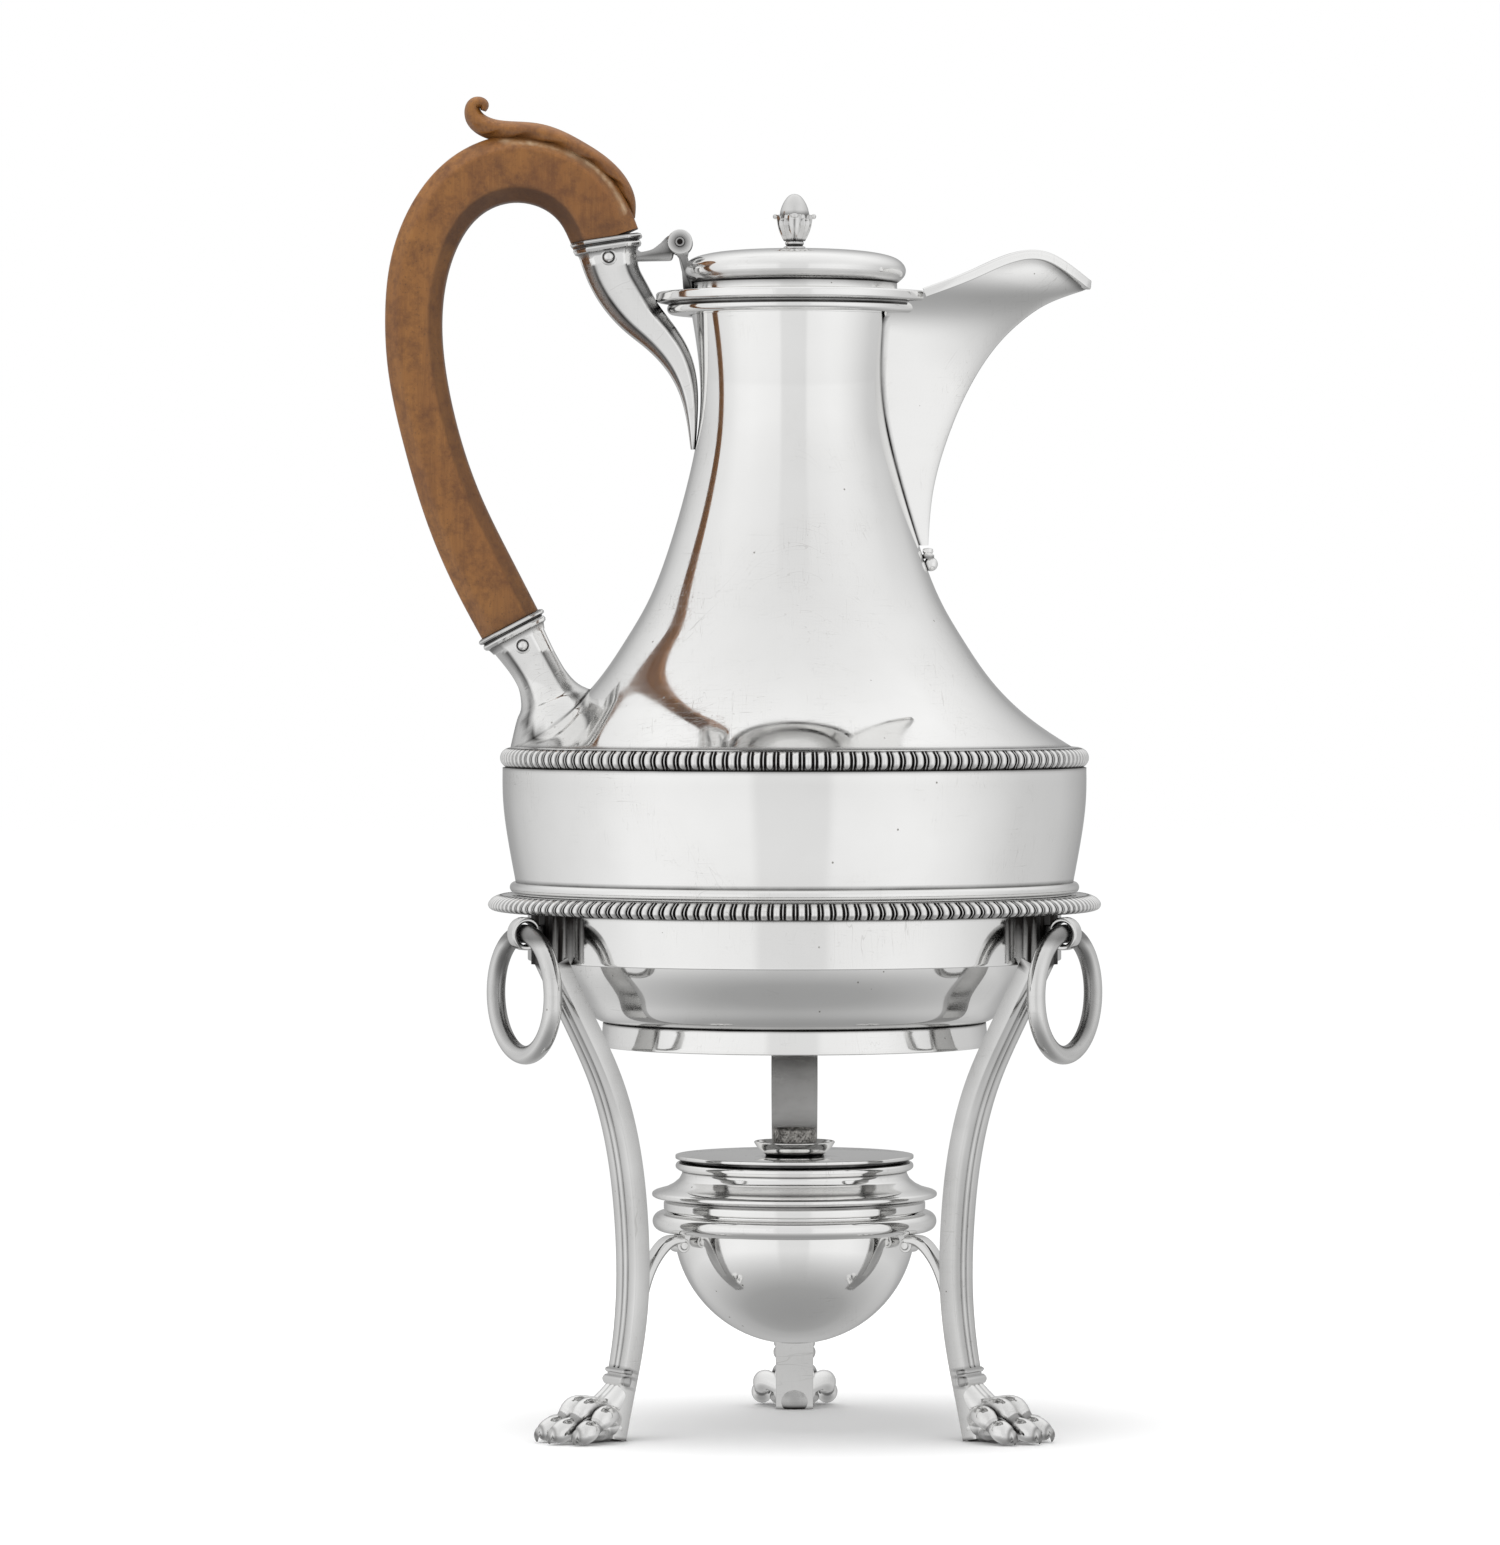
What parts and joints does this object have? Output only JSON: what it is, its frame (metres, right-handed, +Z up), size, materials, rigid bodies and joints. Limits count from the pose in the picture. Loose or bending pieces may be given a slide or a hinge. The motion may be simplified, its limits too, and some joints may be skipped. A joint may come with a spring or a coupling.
{
  "type": "coffee pot",
  "caption": "Polished silver coffee pot with a hinged lid and wooden handle, on a legged stand with a spirit lamp and swinging ring handles.",
  "frame": {"origin": "on the table, under the middle of the whole object; the pot's own axis stands 12.3 mm along +X from it, because the handle reaches further than the spout", "axes": "+Z up; +X towards the spout, -X towards the handle; one leg of the stand at +Y, the other two towards -Y"},
  "size_m": [0.1717, 0.1509, 0.32],
  "materials": {
    "polished_silver": "polished",
    "cast_silver": "polished, with dark tarnish in the hollows",
    "burner_metal": "knurled and darkened by heat",
    "fruitwood": "waxed, worn darker along the edges",
    "wick_cotton": "matt cotton"
  },
  "bodies": {
    "stand": {"stand_border": "cast_silver", "stand_band": "polished_silver", "lamp_ring": "polished_silver", "leg_left": "polished_silver", "leg_right": "polished_silver", "leg_back": "polished_silver", "paw_left": "cast_silver", "paw_right": "cast_silver", "paw_back": "cast_silver", "loop_left": "polished_silver", "loop_right": "polished_silver", "loop_back": "polished_silver", "bracket_left": "polished_silver", "bracket_right": "polished_silver", "bracket_back": "polished_silver"},
    "pot": {"pot_neck": "polished_silver", "shoulder_border": "cast_silver", "pot_drum": "polished_silver", "base_moulding": "cast_silver", "pot_bottom": "polished_silver", "pot_foot": "polished_silver", "rim_collar": "cast_silver", "spout": "polished_silver", "spout_lip": "cast_silver", "spout_drop": "cast_silver", "upper_socket": "polished_silver", "lower_socket": "polished_silver", "upper_pin": "cast_silver", "lower_pin": "cast_silver", "handle": "fruitwood", "hinge_bracket": "polished_silver", "hinge_pin": "cast_silver"},
    "lid": {"lid_cover": "polished_silver", "lid_bezel": "polished_silver", "lid_arm": "polished_silver", "finial_calyx": "cast_silver", "finial_bud": "polished_silver", "finial_nut": "cast_silver"},
    "lamp": {"lamp_bowl": "polished_silver", "lamp_shoulder": "polished_silver"},
    "burner": {"lamp_plate": "cast_silver", "drip_cup": "polished_silver", "wick_tube": "burner_metal", "wick": "wick_cotton"},
    "ring_left": {"ring_left": "polished_silver"},
    "ring_right": {"ring_right": "polished_silver"},
    "ring_back": {"ring_back": "polished_silver"}
  },
  "joints": [
    {"name": "pot_lift", "type": "slide", "parent": "stand", "child": "pot", "axis": [0, 0, 1], "range_m": [0, 0.045]},
    {"name": "lid_hinge", "type": "hinge", "parent": "pot", "child": "lid", "pos_m": [-0.0151, 0, 0.2849], "axis": [0, -1, 0], "range_deg": [0, 95]},
    {"name": "lamp_lift", "type": "slide", "parent": "stand", "child": "lamp", "axis": [0, 0, 1], "range_m": [0, 0.022]},
    {"name": "burner_lift", "type": "slide", "parent": "lamp", "child": "burner", "axis": [0, 0, 1], "range_m": [0, 0.02]},
    {"name": "ring_left_swing", "type": "hinge", "parent": "stand", "child": "ring_left", "pos_m": [-0.05127, -0.0367, 0.1206], "axis": [-0.5, 0.866, 0], "range_deg": [-20, 140]},
    {"name": "ring_right_swing", "type": "hinge", "parent": "stand", "child": "ring_right", "pos_m": [0.07587, -0.0367, 0.1206], "axis": [-0.5, -0.866, 0], "range_deg": [-20, 140]},
    {"name": "ring_back_swing", "type": "hinge", "parent": "stand", "child": "ring_back", "pos_m": [0.0123, 0.0734, 0.1206], "axis": [1, 0, 0], "range_deg": [-20, 140]}
  ]
}
